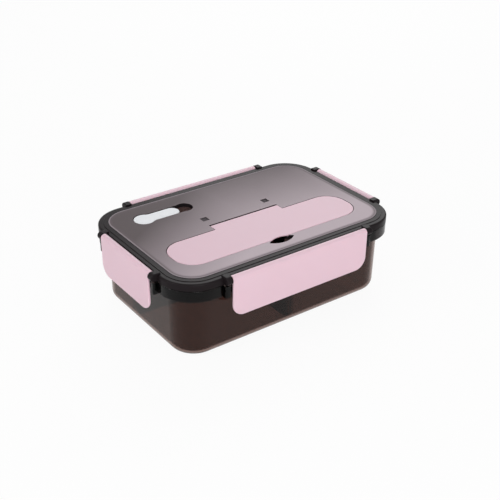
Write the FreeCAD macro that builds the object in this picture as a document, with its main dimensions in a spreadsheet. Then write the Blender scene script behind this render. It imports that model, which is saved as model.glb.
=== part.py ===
"""Bento lunch box with a cutlery pocket in its lid.

Millimetres. +Z is up, +X runs along the long front side and -Y is the front.
The origin is the middle of the footprint, on the surface that the box stands on.
"""
import FreeCAD, Part
import math
import os
import Sketcher
from FreeCAD import Rotation, Vector

doc = FreeCAD.newDocument("BentoLunchBox")
sheet = doc.addObject("Spreadsheet::Sheet", "Dims")

# Driving sizes: name, value in millimetres (degrees where the note says so), meaning
DRIVING_SIZES = (
    ("body_length", 198.0, "container mouth, outside length"),
    ("body_width", 129.5, "container mouth, outside width"),
    ("body_corner", 22.0, "container mouth, outside corner radius"),
    ("body_taper", 0.8, "lean of each wall from mouth to floor"),
    ("wall", 2.0, "container walls and floor"),
    ("base_round", 8.0, "outside radius between wall and floor"),
    ("mouth_height", 63.4, "top of the container lip"),
    ("lip_rise", 1.2, "container lip above the flange"),
    ("flange_thickness", 2.0, "container flange"),
    ("rim_overhang", 6.75, "flange and lid rim, beyond the mouth"),
    ("collar_depth", 9.5, "turned-down collar, from the flange top"),
    ("collar_wall", 2.0, "collar wall"),
    ("foot_width", 3.5, "standing ring under the floor"),
    ("foot_depth", 0.8, "hollow inside the standing ring"),
    ("lip_round", 0.6, "rounding of the container lip and collar"),
    ("lug_width", 5.0, "collar lugs and lid ears, along the latch"),
    ("lug_reach", 3.9, "collar lugs, beyond the rim"),
    ("lug_round", 1.4, "rounding of the collar lugs"),
    ("bead_radius", 0.8, "snap bead on the collar"),
    ("bead_rise", 1.0, "bead centre above the collar's lower edge"),
    ("bead_inset", 6.0, "bead end from the latch end"),
    ("divider_place", 12.0, "long divider wall, behind the middle"),
    ("divider_headroom", 13.4, "divider top below the mouth"),
    ("divider_wall", 1.8, "divider thickness"),
    ("divider_gap", 0.4, "divider clearance at walls and floor"),
    ("divider_join", 2.5, "rounding where the divider walls meet"),
    ("guide_width", 1.6, "guide ribs beside the divider"),
    ("guide_reach", 2.2, "guide ribs, out of the wall at the mouth"),
    ("guide_gap", 0.3, "clearance between divider and guide rib"),
    ("guide_drop", 6.0, "guide ribs below the divider top"),
    ("parting_gap", 0.25, "gap between lid rim and flange"),
    ("rim_height", 5.55, "lid rim, from the parting to its outer step"),
    ("ledge_rise", 0.4, "inner step of the lid rim, above the outer one"),
    ("platform_rise", 0.4, "flat top of the lid, above the inner step"),
    ("low_ledge_width", 4.2, "outer step of the lid rim"),
    ("platform_inset", 8.25, "lid platform, inside the rim edge"),
    ("lid_plate", 2.2, "lid plate thickness"),
    ("rim_round", 1.4, "rounding of the lid rim edge"),
    ("ledge_round", 0.3, "rounding of the inner step"),
    ("platform_round", 0.3, "rounding of the platform edge"),
    ("channel_out", 1.4, "seal channel, outside the mouth outline"),
    ("channel_in", 3.9, "seal channel, inside the mouth outline"),
    ("ring_wall", 1.8, "lid ring that enters the mouth"),
    ("ring_reach", 2.9, "lid ring below the container lip"),
    ("seal_height", 2.25, "seal, from lip to channel ceiling"),
    ("seal_gap", 0.15, "seal to channel sides and to the lip"),
    ("seal_round", 0.6, "rounding of the seal"),
    ("front_latch_inset", 12.8, "front and back latch ends, from the corner arcs"),
    ("side_latch_inset", 7.15, "left and right latch ends, from the corner arcs"),
    ("latch_end_gap", 0.4, "latch end to ear and lug"),
    ("pivot_out", 2.4, "latch pivot, beyond the rim"),
    ("pivot_drop", 1.8, "latch pivot, below the outer step of the rim"),
    ("latch_barrel", 3.0, "radius of the latch's rolled top edge"),
    ("latch_wall", 2.0, "latch plate"),
    ("latch_drop", 31.0, "latch plate below its pivot"),
    ("latch_corner", 10.0, "lower corners of the latch"),
    ("latch_round", 0.7, "rounding of the latch edges"),
    ("latch_shoulder", 1.2, "rounding between latch plate and barrel"),
    ("latch_pin", 1.5, "radius of the latch's stub pins"),
    ("latch_pin_reach", 3.4, "stub pins beyond the latch ends"),
    ("pin_gap", 0.06, "running clearance round a pin, on the radius"),
    ("pin_end_gap", 0.5, "clearance at a pin's end"),
    ("ear_radius", 3.2, "lid ear round the pivot"),
    ("ear_root", 2.5, "ear root, inside the rim edge"),
    ("ear_round", 0.8, "rounding of the ears"),
    ("bay_depth", 1.1, "rim set back behind a latch"),
    ("hook_gap", 0.2, "hook tip to snap bead"),
    ("hook_below", 0.4, "hook top below the snap bead"),
    ("hook_tip", 1.2, "hook tip height"),
    ("hook_root", 3.4, "hook height at the plate"),
    ("grip_height", 3.4, "thick finger edge inside the latch"),
    ("grip_reach", 1.2, "thick finger edge inside the latch"),
    ("rib_pitch", 19.0, "stiffening ribs inside the latch"),
    ("rib_wall", 1.4, "stiffening ribs inside the latch"),
    ("cover_end_margin", 12.5, "cutlery cover to the platform's end edges"),
    ("cover_front_margin", 16.25, "cutlery cover to the platform's front edge"),
    ("cover_width", 39.5, "cutlery cover"),
    ("cover_end_flat", 5.5, "straight part of the cover's ends"),
    ("cover_thickness", 2.0, "cutlery cover"),
    ("cover_gap", 0.45, "cover to its opening"),
    ("cover_seat", 1.4, "ledge that carries the cover"),
    ("seat_gap", 0.15, "cover to its ledge"),
    ("cover_round", 0.5, "rounding of the cover's top edge"),
    ("cover_rib", 1.2, "locating rib under the cover"),
    ("cover_rib_drop", 1.6, "locating rib under the cover"),
    ("cover_rib_gap", 0.35, "locating rib to the pocket wall"),
    ("tab_length", 66.0, "hinge tab of the cover"),
    ("hinge_setback", 6.5, "cover hinge axis, behind the cover's rear edge"),
    ("hinge_barrel", 1.9, "radius of the cover's hinge edge"),
    ("hinge_pin", 1.1, "radius of the cover's hinge pins"),
    ("hinge_pin_reach", 2.2, "cover pins beyond the tab"),
    ("hinge_room", 0.4, "clearance round the hinge edge"),
    ("hinge_cheek", 4.0, "lid cheeks that hold the cover pins"),
    ("pocket_depth", 13.8, "cutlery pocket floor, below the platform"),
    ("pocket_wall", 1.6, "walls under the lid plate"),
    ("pocket_round", 1.5, "rounding of the pocket floor"),
    ("notch_length", 23.5, "finger notch"),
    ("notch_half", 4.75, "finger notch, half its depth front to back"),
    ("notch_out", 2.9, "finger notch centre, in front of the cover's edge"),
    ("notch_depth", 10.8, "finger notch floor, below the platform"),
    ("notch_lip", 0.7, "cover edge left over the finger notch"),
    ("notch_hollow", 3.0, "hollow under that edge, beyond the notch"),
    ("mark_size", 6.0, "square wells behind the hinge"),
    ("mark_spacing", 60.0, "square wells, middle to middle"),
    ("mark_setback", 13.2, "square wells, behind the hinge axis"),
    ("mark_depth", 0.9, "square wells"),
    ("vent_back_margin", 23.25, "vent recess to the platform's back edge"),
    ("vent_end_margin", 28.1, "vent plug head to the platform's left edge"),
    ("plug_reach", 25.5, "vent plug, head centre to tab end centre"),
    ("finger_reach", 11.9, "tab end centre to the finger end of the recess"),
    ("plug_head_radius", 8.8, "vent plug head"),
    ("plug_tab_radius", 6.4, "vent plug tab"),
    ("plug_neck_round", 6.0, "rounding where head meets tab"),
    ("plug_plate", 2.3, "vent plug plate"),
    ("plug_sink", 0.2, "vent plug top below the platform"),
    ("plug_round", 0.8, "rounding of the vent plug"),
    ("plug_stem", 3.4, "radius of the plug's stopper"),
    ("plug_stem_drop", 3.2, "stopper below the plate"),
    ("plug_gap", 0.3, "vent plug to its recess"),
    ("stem_gap", 0.1, "stopper to vent hole, on the radius"),
    ("vent_finger_radius", 7.4, "finger end of the vent recess"),
    ("vent_finger_depth", 5.2, "floor of the finger end, below the platform"),
    ("vent_floor", 1.8, "floor under the vent recess"),
    ("cutlery_end_room", 15.05, "cutlery to each end of the pocket"),
    ("cutlery_thickness", 1.8, "fork and spoon"),
    ("cutlery_handle", 8.0, "handle width"),
    ("cutlery_neck", 6.0, "neck width"),
    ("cutlery_lean", 5.174, "cutlery ends, out of line with the pocket"),
    ("cutlery_lift", 0.1, "cutlery to pocket floor"),
    ("fork_head_length", 40.0, "fork head"),
    ("fork_side_room", 17.6, "pocket width left over beside the fork head"),
    ("fork_back_gap", 4.42, "fork head to the pocket's rear wall"),
    ("fork_arch", 2.2, "arch of the fork"),
    ("tine_gap", 2.4, "gap between tines"),
    ("tine_length", 19.0, "tines"),
    ("spoon_bowl_length", 38.0, "spoon bowl"),
    ("spoon_side_room", 15.1, "pocket width left over beside the spoon bowl"),
    ("spoon_front_gap", 3.35, "spoon bowl to the pocket's front wall"),
    ("spoon_bowl_depth", 6.5, "spoon bowl"),
)
for row, (alias, value, meaning) in enumerate(DRIVING_SIZES, start=1):
    sheet.set(f"A{row}", meaning)
    sheet.set(f"B{row}", str(value))
    sheet.setAlias(f"B{row}", alias)
doc.recompute()

# Sizes that several pieces share, worked out from the driving ones
FLANGE_TOP = "(Dims.mouth_height - Dims.lip_rise)"
COLLAR_BOTTOM = f"({FLANGE_TOP} - Dims.collar_depth)"
BEAD_HEIGHT = f"({COLLAR_BOTTOM} + Dims.bead_rise)"
DIVIDER_TOP = "(Dims.mouth_height - Dims.divider_headroom)"
TAPER_AT_FLOOR = "Dims.body_taper * (1 - Dims.wall / Dims.mouth_height)"
TAPER_AT_DIVIDER = "Dims.body_taper * Dims.divider_headroom / Dims.mouth_height"
RIM_X = "(Dims.body_length / 2 + Dims.rim_overhang)"
RIM_Y = "(Dims.body_width / 2 + Dims.rim_overhang)"
SKIRT_BOTTOM = f"({FLANGE_TOP} + Dims.parting_gap)"
LOW_LEDGE_TOP = f"({SKIRT_BOTTOM} + Dims.rim_height)"
HIGH_LEDGE_TOP = f"({LOW_LEDGE_TOP} + Dims.ledge_rise)"
PLATFORM_TOP = f"({HIGH_LEDGE_TOP} + Dims.platform_rise)"
PLATE_BOTTOM = f"({PLATFORM_TOP} - Dims.lid_plate)"
PLATFORM_X = f"({RIM_X} - Dims.platform_inset)"
PLATFORM_Y = f"({RIM_Y} - Dims.platform_inset)"
SEAL_BOTTOM = "(Dims.mouth_height + Dims.seal_gap)"
CHANNEL_TOP = f"({SEAL_BOTTOM} + Dims.seal_height)"
RING_BOTTOM = "(Dims.mouth_height - Dims.ring_reach)"
FRONT_LATCH = "(Dims.body_length - 2 * Dims.body_corner - 2 * Dims.front_latch_inset)"
SIDE_LATCH = "(Dims.body_width - 2 * Dims.body_corner - 2 * Dims.side_latch_inset)"
PIVOT_X = f"({RIM_X} + Dims.pivot_out)"
PIVOT_Y = f"({RIM_Y} + Dims.pivot_out)"
PIVOT_HEIGHT = f"({LOW_LEDGE_TOP} - Dims.pivot_drop)"
COVER_LENGTH = f"(2 * ({PLATFORM_X} - Dims.cover_end_margin))"
COVER_CORNER = "((Dims.cover_width - Dims.cover_end_flat) / 2)"
COVER_FRONT = f"(Dims.cover_front_margin - {PLATFORM_Y})"
COVER_PLACE = f"({COVER_FRONT} + Dims.cover_width / 2)"
COVER_BACK = f"({COVER_FRONT} + Dims.cover_width)"
COVER_BOTTOM = f"({PLATFORM_TOP} - Dims.cover_thickness)"
SEAT_TOP = f"({COVER_BOTTOM} - Dims.seat_gap)"
HINGE_PLACE = f"({COVER_BACK} + Dims.hinge_setback)"
HINGE_HEIGHT = f"({PLATFORM_TOP} - Dims.hinge_barrel)"
WELL_FLOOR = f"({HINGE_HEIGHT} - Dims.hinge_barrel - Dims.hinge_room)"
WELL_BACK = f"({HINGE_PLACE} + Dims.hinge_barrel + Dims.hinge_room)"
NOTCH_PLACE = f"({COVER_FRONT} - Dims.notch_out)"
NOTCH_FLOOR = f"({PLATFORM_TOP} - Dims.notch_depth)"
POCKET_GROW = "(Dims.cover_gap - Dims.cover_seat)"
POCKET_FLOOR = f"({PLATFORM_TOP} - Dims.pocket_depth)"
POCKET_WIDTH = f"(Dims.cover_width + 2 * {POCKET_GROW})"
MARK_PLACE = f"({HINGE_PLACE} + Dims.mark_setback)"
VENT_PLACE = f"({PLATFORM_Y} - Dims.vent_back_margin)"
VENT_HEAD = f"(Dims.vent_end_margin - {PLATFORM_X})"
VENT_TAB = f"({VENT_HEAD} + Dims.plug_reach)"
VENT_FINGER = f"({VENT_TAB} + Dims.finger_reach)"
PLUG_BOTTOM = f"({PLATFORM_TOP} - Dims.plug_sink - Dims.plug_plate)"
VENT_FLOOR_TOP = f"({PLUG_BOTTOM} - Dims.seat_gap)"
VENT_FINGER_FLOOR = f"({PLATFORM_TOP} - Dims.vent_finger_depth)"
CUTLERY_HALF = f"({COVER_LENGTH} / 2 + {POCKET_GROW} - Dims.cutlery_end_room)"
FORK_HEAD_WIDTH = f"({POCKET_WIDTH} - Dims.fork_side_room)"
SPOON_BOWL_WIDTH = f"({POCKET_WIDTH} - Dims.spoon_side_room)"
TOUCH = 0.02


def size(expression):
    """The present value of an expression on the sheet."""
    return float(sheet.evalExpression(str(expression)))


def mouth_outline(grow):
    """Length, width and corner of the mouth outline, grown evenly by an expression."""
    return (f"Dims.body_length + 2 * ({grow})", f"Dims.body_width + 2 * ({grow})",
            f"Dims.body_corner + ({grow})")


def cover_outline(grow):
    """Length, width and corner of the cutlery cover's outline, grown evenly."""
    return (f"{COVER_LENGTH} + 2 * ({grow})", f"Dims.cover_width + 2 * ({grow})",
            f"{COVER_CORNER} + ({grow})")


def new_body(label):
    body = doc.addObject("PartDesign::Body", label)
    body.Label = label
    return body


def new_sketch(body, name, role="XY_Plane", offset="0"):
    """A sketch on one of the body's own origin planes, moved along the plane's normal."""
    sketch = body.newObject("Sketcher::SketchObject", f"{body.Label}_{name}_sketch")
    plane = next(item for item in body.Origin.OriginFeatures if item.Role == role)
    sketch.AttachmentSupport = (plane, [""])
    sketch.MapMode = "FlatFace"
    sketch.setExpression("AttachmentOffset.Base.z", offset)
    return sketch


def bind(sketch, kind, first, second, expression):
    """A sketch distance from one point to another that follows an expression."""
    constraint = Sketcher.Constraint(kind, *first, *second, size(expression))
    name = f"size_{sketch.addConstraint(constraint)}"
    sketch.renameConstraint(sketch.ConstraintCount - 1, name)
    sketch.setExpression(f"Constraints.{name}", expression)


def bind_radius(sketch, geometry, expression):
    name = f"radius_{sketch.addConstraint(Sketcher.Constraint('Radius', geometry, size(expression)))}"
    sketch.renameConstraint(sketch.ConstraintCount - 1, name)
    sketch.setExpression(f"Constraints.{name}", expression)


ORIGIN_POINT = (-1, 1)


def place_point(sketch, point, x, y):
    """Ties a point of the sketch to the sketch origin by two expressions."""
    bind(sketch, "DistanceX", ORIGIN_POINT, point, x)
    bind(sketch, "DistanceY", ORIGIN_POINT, point, y)


def draw_circle(sketch, x, y, radius):
    centre = Vector(size(x), size(y), 0)
    circle = sketch.addGeometry(Part.Circle(centre, Vector(0, 0, 1), size(radius)), False)
    place_point(sketch, (circle, 3), x, y)
    bind_radius(sketch, circle, radius)


def draw_outline(sketch, points, arcs=None):
    """A closed outline through points given as pairs of expressions, anticlockwise.

    arcs names the stretches that are round: the stretch's number, with the centre's
    known coordinate as ("X" or "Y", expression) and +1 for bulging out, -1 for hollow.
    """
    arcs = arcs or {}
    corners = [Vector(size(x), size(y), 0) for x, y in points]
    ends = []
    for index, start in enumerate(corners):
        finish = corners[(index + 1) % len(corners)]
        if index not in arcs:
            line = sketch.addGeometry(Part.LineSegment(start, finish), False)
            ends.append(((line, 1), (line, 2)))
            continue
        axis, known, bulge = arcs[index]
        middle = (start + finish) * 0.5
        across = Vector(start.y - finish.y, finish.x - start.x, 0)
        if axis == "X":
            step = (size(known) - middle.x) / across.x
        else:
            step = (size(known) - middle.y) / across.y
        centre = middle + across * step
        first, last = (start, finish) if bulge > 0 else (finish, start)
        angles = [math.atan2(p.y - centre.y, p.x - centre.x) for p in (first, last)]
        ring = Part.Circle(centre, Vector(0, 0, 1), centre.distanceToPoint(start))
        arc = sketch.addGeometry(Part.ArcOfCircle(ring, *angles), False)
        bind(sketch, f"Distance{axis}", ORIGIN_POINT, (arc, 3), known)
        ends.append(((arc, 1), (arc, 2)) if bulge > 0 else ((arc, 2), (arc, 1)))
    for index, (start, finish) in enumerate(ends):
        following = ends[(index + 1) % len(ends)][0]
        sketch.addConstraint(Sketcher.Constraint("Coincident", *finish, *following))
        place_point(sketch, start, *points[index])


def draw_rectangle(sketch, left, right, front, back):
    draw_outline(sketch, ((left, front), (right, front), (right, back), (left, back)))


def draw_rounded(sketch, length, width, corner, middle="0"):
    """A rounded rectangle, centred along X and with its middle at a given place along Y."""
    half_x, half_y, radius = size(f"({length}) / 2"), size(f"({width}) / 2"), size(corner)
    y = size(middle)
    lines, rounds = [], []
    starts = ((-half_x + radius, y - half_y), (half_x, y - half_y + radius),
              (half_x - radius, y + half_y), (-half_x, y + half_y - radius))
    finishes = ((half_x - radius, y - half_y), (half_x, y + half_y - radius),
                (-half_x + radius, y + half_y), (-half_x, y - half_y + radius))
    centres = ((half_x - radius, y - half_y + radius), (half_x - radius, y + half_y - radius),
               (-half_x + radius, y + half_y - radius), (-half_x + radius, y - half_y + radius))
    for side in range(4):
        line = Part.LineSegment(Vector(*starts[side], 0), Vector(*finishes[side], 0))
        ring = Part.Circle(Vector(*centres[side], 0), Vector(0, 0, 1), radius)
        turn = math.radians(90 * (side - 1))
        lines.append(sketch.addGeometry(line, False))
        rounds.append(sketch.addGeometry(Part.ArcOfCircle(ring, turn, turn + math.pi / 2), False))
    for side in range(4):
        following = lines[(side + 1) % 4]
        sketch.addConstraint(Sketcher.Constraint("Tangent", lines[side], 2, rounds[side], 1))
        sketch.addConstraint(Sketcher.Constraint("Tangent", rounds[side], 2, following, 1))
        level = "Horizontal" if side % 2 == 0 else "Vertical"
        sketch.addConstraint(Sketcher.Constraint(level, lines[side]))
    for side in range(1, 4):
        sketch.addConstraint(Sketcher.Constraint("Equal", rounds[0], rounds[side]))
    bind(sketch, "DistanceX", ORIGIN_POINT, (lines[1], 1), f"({length}) / 2")
    bind(sketch, "DistanceX", (lines[3], 1), (lines[1], 1), length)
    bind(sketch, "DistanceY", ORIGIN_POINT, (lines[2], 1), f"({middle}) + ({width}) / 2")
    bind(sketch, "DistanceY", (lines[0], 1), (lines[2], 1), width)
    bind_radius(sketch, rounds[0], corner)


def draw_slot(sketch, left, right, y, radius):
    """A slot along X with round ends, whose end centres are at left and right."""
    draw_outline(sketch,
                 ((left, f"{y} - {radius}"), (right, f"{y} - {radius}"),
                  (right, f"{y} + {radius}"), (left, f"{y} + {radius}")),
                 {1: ("X", right, 1), 3: ("X", left, 1)})


def add_feature(body, kind, name, sketch, length, reverse=False, symmetric=False):
    feature = body.newObject(f"PartDesign::{kind}", f"{body.Label}_{name}")
    feature.Profile = sketch
    feature.setExpression("Length", length)
    feature.Reversed = reverse
    if symmetric:
        feature.SideType = "Symmetric"
    return feature


def pad(body, name, sketch, length, reverse=False, symmetric=False):
    """Material from the sketch along its normal, or both ways when symmetric."""
    return add_feature(body, "Pad", name, sketch, length, reverse, symmetric)


def cut(body, name, sketch, depth, upward=False, symmetric=False):
    """A cut against the sketch's normal, or along it when upward; it must remove something."""
    doc.recompute()
    before = body.Shape.Volume
    feature = add_feature(body, "Pocket", name, sketch, depth, upward, symmetric)
    doc.recompute()
    if feature.Shape.isNull() or feature.Shape.Volume > before - TOUCH:
        raise RuntimeError(f"{feature.Name} removes nothing")
    return feature


def round_edges(body, name, radius, chosen):
    """Rounds every edge of the body that the test chooses."""
    doc.recompute()
    base = body.Tip
    names = [f"Edge{i}" for i, edge in enumerate(base.Shape.Edges, start=1) if chosen(edge)]
    if not names:
        raise RuntimeError(f"{name} of {body.Label} finds no edge")
    fillet = body.newObject("PartDesign::Fillet", f"{body.Label}_{name}")
    fillet.Base = (base, names)
    fillet.setExpression("Radius", radius)
    doc.recompute()
    return fillet


def middle_of(edge):
    return edge.valueAt((edge.FirstParameter + edge.LastParameter) / 2)


def at_height(edge, height):
    box = edge.BoundBox
    return abs(box.ZMin - size(height)) < TOUCH and abs(box.ZMax - size(height)) < TOUCH


def on_outline(edge, outline, height, middle="0"):
    """Whether an edge lies on a rounded rectangle at a height."""
    if not at_height(edge, height):
        return False
    length, width, corner = (size(part) for part in outline)
    point = middle_of(edge)
    x = abs(point.x) - length / 2 + corner
    y = abs(point.y - size(middle)) - width / 2 + corner
    distance = math.hypot(max(x, 0), max(y, 0)) + min(max(x, y), 0) - corner
    return abs(distance) < TOUCH


def is_upright(edge):
    box = edge.BoundBox
    return max(box.XLength, box.YLength) < TOUCH and box.ZLength > TOUCH


def runs_along_x(edge):
    box = edge.BoundBox
    return max(box.YLength, box.ZLength) < TOUCH


def runs_along_y(edge):
    box = edge.BoundBox
    return max(box.XLength, box.ZLength) < TOUCH


def faces_where(feature, chosen):
    return [f"Face{i}" for i, face in enumerate(feature.Shape.Faces, start=1) if chosen(face)]


def is_level(face, height):
    box = face.BoundBox
    return box.ZLength < TOUCH and abs(box.ZMax - size(height)) < TOUCH


def lean_walls(body, feature, taper, height):
    """Leans a solid's upright walls inwards from its top, so that it leaves its mould."""
    doc.recompute()
    draft = body.newObject("PartDesign::Draft", f"{body.Label}_draft")
    draft.Base = (feature, faces_where(feature, lambda face: face.BoundBox.ZLength > TOUCH))
    draft.NeutralPlane = (feature, faces_where(feature, lambda face: is_level(face, height)))
    draft.setExpression("Angle", f"atan({taper} / {height})")
    draft.Reversed = True


def shell_from_top(body, wall, height):
    """Hollows the body out to an even wall, open at the top."""
    doc.recompute()
    solid = body.Tip
    shell = body.newObject("PartDesign::Thickness", f"{body.Label}_shell")
    shell.Base = (solid, faces_where(solid, lambda face: is_level(face, height)))
    shell.setExpression("Value", wall)
    shell.Reversed = True
    shell.Join = "Intersection"


SIDES = (-1, 1)


def ordered(side, near, far):
    """Low and high ends of a span from near to far, on the positive or negative side."""
    return (near, far) if side > 0 else (f"-{far}", f"-{near}")


def latch_end_span(length):
    """Near and far ends of an ear or lug beside a latch of a given length."""
    near = f"({length} / 2 + Dims.latch_end_gap)"
    return near, f"({near} + Dims.lug_width)"


def build_container():
    """Open tub with a seal lip, a flange turned down into a collar, and divider guides."""
    body = new_body("container")
    mouth = new_sketch(body, "mouth")
    draw_rounded(mouth, *mouth_outline("0"))
    tub = pad(body, "tub", mouth, "Dims.mouth_height")
    lean_walls(body, tub, "Dims.body_taper", "Dims.mouth_height")
    round_edges(body, "base_round", "Dims.base_round", lambda edge: at_height(edge, "0"))
    shell_from_top(body, "Dims.wall", "Dims.mouth_height")

    collar = new_sketch(body, "collar", offset=COLLAR_BOTTOM)
    draw_rounded(collar, *mouth_outline("Dims.rim_overhang"))
    draw_rounded(collar, *mouth_outline("-Dims.wall / 2"))
    pad(body, "collar", collar, f"{FLANGE_TOP} - {COLLAR_BOTTOM}")
    hollow = new_sketch(body, "collar_hollow", offset=COLLAR_BOTTOM)
    draw_rounded(hollow, *mouth_outline("Dims.rim_overhang - Dims.collar_wall"))
    draw_rounded(hollow, *mouth_outline("0"))
    hollow_height = f"{FLANGE_TOP} - Dims.flange_thickness - {COLLAR_BOTTOM}"
    cut(body, "collar_hollow", hollow, hollow_height, upward=True)
    rim = mouth_outline("Dims.rim_overhang")
    round_edges(body, "lip_round", "Dims.lip_round",
                lambda edge: at_height(edge, "Dims.mouth_height")
                or on_outline(edge, rim, COLLAR_BOTTOM)
                or on_outline(edge, rim, FLANGE_TOP))

    foot = new_sketch(body, "foot")
    foot_inset = "-Dims.body_taper - Dims.base_round - Dims.foot_width"
    draw_rounded(foot, *mouth_outline(foot_inset))
    cut(body, "foot", foot, "Dims.foot_depth", upward=True)

    lugs = new_sketch(body, "lugs", offset=COLLAR_BOTTOM)
    for side in SIDES:
        for end in SIDES:
            near, far = latch_end_span(FRONT_LATCH)
            inner, outer = f"({RIM_Y} - Dims.collar_wall / 2)", f"({RIM_Y} + Dims.lug_reach)"
            draw_rectangle(lugs, *ordered(end, near, far), *ordered(side, inner, outer))
            near, far = latch_end_span(SIDE_LATCH)
            inner, outer = f"({RIM_X} - Dims.collar_wall / 2)", f"({RIM_X} + Dims.lug_reach)"
            draw_rectangle(lugs, *ordered(side, inner, outer), *ordered(end, near, far))
    pad(body, "lugs", lugs, f"{FLANGE_TOP} - {COLLAR_BOTTOM}")
    lug_x, lug_y = size(f"{RIM_X} + Dims.lug_reach"), size(f"{RIM_Y} + Dims.lug_reach")
    round_edges(body, "lug_round", "Dims.lug_round",
                lambda edge: is_upright(edge)
                and (abs(abs(middle_of(edge).x) - lug_x) < TOUCH
                     or abs(abs(middle_of(edge).y) - lug_y) < TOUCH))

    beads = new_sketch(body, "long_beads", role="YZ_Plane")
    for side in SIDES:
        draw_circle(beads, f"{side} * {RIM_Y}", BEAD_HEIGHT, "Dims.bead_radius")
    pad(body, "long_beads", beads, f"{FRONT_LATCH} - 2 * Dims.bead_inset", symmetric=True)
    beads = new_sketch(body, "short_beads", role="XZ_Plane")
    for side in SIDES:
        draw_circle(beads, f"{side} * {RIM_X}", BEAD_HEIGHT, "Dims.bead_radius")
    pad(body, "short_beads", beads, f"{SIDE_LATCH} - 2 * Dims.bead_inset", symmetric=True)

    guides = new_sketch(body, "guides", offset="Dims.base_round")
    root_x = "(Dims.body_length / 2 - Dims.wall / 2 - Dims.body_taper)"
    root_y = "(Dims.body_width / 2 - Dims.wall / 2 - Dims.body_taper)"
    tip_x = "(Dims.body_length / 2 - Dims.wall - Dims.guide_reach)"
    tip_y = "(Dims.body_width / 2 - Dims.wall - Dims.guide_reach)"
    near = "(Dims.divider_wall / 2 + Dims.guide_gap)"
    far = f"({near} + Dims.guide_width)"
    for side in SIDES:
        draw_rectangle(guides, *ordered(side, near, far), f"-{root_y}", f"-{tip_y}")
        for end in SIDES:
            low, high = ordered(side, near, far)
            draw_rectangle(guides, *ordered(end, tip_x, root_x),
                           f"Dims.divider_place + ({low})", f"Dims.divider_place + ({high})")
    pad(body, "guides", guides, f"{DIVIDER_TOP} - Dims.guide_drop - Dims.base_round")
    return body


def build_divider():
    """T-shaped divider: a long wall across the box and a stem to the front wall."""
    body = new_body("divider")
    bottom = "(Dims.wall + Dims.divider_gap)"
    low_x = f"(Dims.body_length / 2 - {TAPER_AT_FLOOR} - Dims.wall - Dims.divider_gap)"
    high_x = f"(Dims.body_length / 2 - {TAPER_AT_DIVIDER} - Dims.wall - Dims.divider_gap)"
    low_y = f"(Dims.body_width / 2 - {TAPER_AT_FLOOR} - Dims.wall - Dims.divider_gap)"
    high_y = f"(Dims.body_width / 2 - {TAPER_AT_DIVIDER} - Dims.wall - Dims.divider_gap)"
    long_wall = new_sketch(body, "long_wall", role="XZ_Plane", offset="-Dims.divider_place")
    draw_outline(long_wall, ((f"-{low_x}", bottom), (low_x, bottom),
                             (high_x, DIVIDER_TOP), (f"-{high_x}", DIVIDER_TOP)))
    pad(body, "long_wall", long_wall, "Dims.divider_wall", symmetric=True)
    stem = new_sketch(body, "stem", role="YZ_Plane")
    draw_outline(stem, ((f"-{low_y}", bottom), ("Dims.divider_place", bottom),
                        ("Dims.divider_place", DIVIDER_TOP), (f"-{high_y}", DIVIDER_TOP)))
    pad(body, "stem", stem, "Dims.divider_wall", symmetric=True)
    reach_x, reach_y = size(low_x), size(low_y)
    round_edges(body, "bottom_corners", "Dims.base_round - Dims.wall + Dims.divider_gap",
                lambda edge: at_height(edge, bottom)
                and (abs(abs(middle_of(edge).x) - reach_x) < TOUCH
                     or abs(middle_of(edge).y + reach_y) < TOUCH))
    join_y = size("Dims.divider_place - Dims.divider_wall / 2")
    join_x = size("Dims.divider_wall / 2")
    round_edges(body, "join", "Dims.divider_join",
                lambda edge: is_upright(edge) and abs(middle_of(edge).y - join_y) < TOUCH
                and abs(abs(middle_of(edge).x) - join_x) < TOUCH)
    return body


def build_lid_shell(body):
    """Stepped rim, flat platform, seal channel and the ring that enters the mouth."""
    rim = mouth_outline("Dims.rim_overhang")
    ledge = mouth_outline("Dims.rim_overhang - Dims.low_ledge_width")
    platform = mouth_outline("Dims.rim_overhang - Dims.platform_inset")
    steps = (("rim", rim, SKIRT_BOTTOM, LOW_LEDGE_TOP),
             ("ledge", ledge, LOW_LEDGE_TOP, HIGH_LEDGE_TOP),
             ("platform", platform, HIGH_LEDGE_TOP, PLATFORM_TOP))
    for name, outline, low, high in steps:
        sketch = new_sketch(body, name, offset=low)
        draw_rounded(sketch, *outline)
        pad(body, name, sketch, f"{high} - {low}")
    round_edges(body, "rim_round", "Dims.rim_round",
                lambda edge: on_outline(edge, rim, LOW_LEDGE_TOP))
    round_edges(body, "ledge_round", "Dims.ledge_round",
                lambda edge: on_outline(edge, ledge, HIGH_LEDGE_TOP))
    round_edges(body, "platform_round", "Dims.platform_round",
                lambda edge: on_outline(edge, platform, PLATFORM_TOP))

    inside = mouth_outline("-Dims.channel_in - Dims.ring_wall")
    under = new_sketch(body, "under", offset=SKIRT_BOTTOM)
    draw_rounded(under, *inside)
    cut(body, "under", under, f"{PLATE_BOTTOM} - {SKIRT_BOTTOM}", upward=True)
    channel = new_sketch(body, "channel", offset=SKIRT_BOTTOM)
    draw_rounded(channel, *mouth_outline("Dims.channel_out"))
    draw_rounded(channel, *mouth_outline("-Dims.channel_in"))
    cut(body, "channel", channel, f"{CHANNEL_TOP} - {SKIRT_BOTTOM}", upward=True)
    ring = new_sketch(body, "ring", offset=RING_BOTTOM)
    draw_rounded(ring, *mouth_outline("-Dims.channel_in"))
    draw_rounded(ring, *inside)
    pad(body, "ring", ring, f"{PLATE_BOTTOM} - {RING_BOTTOM}")


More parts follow.
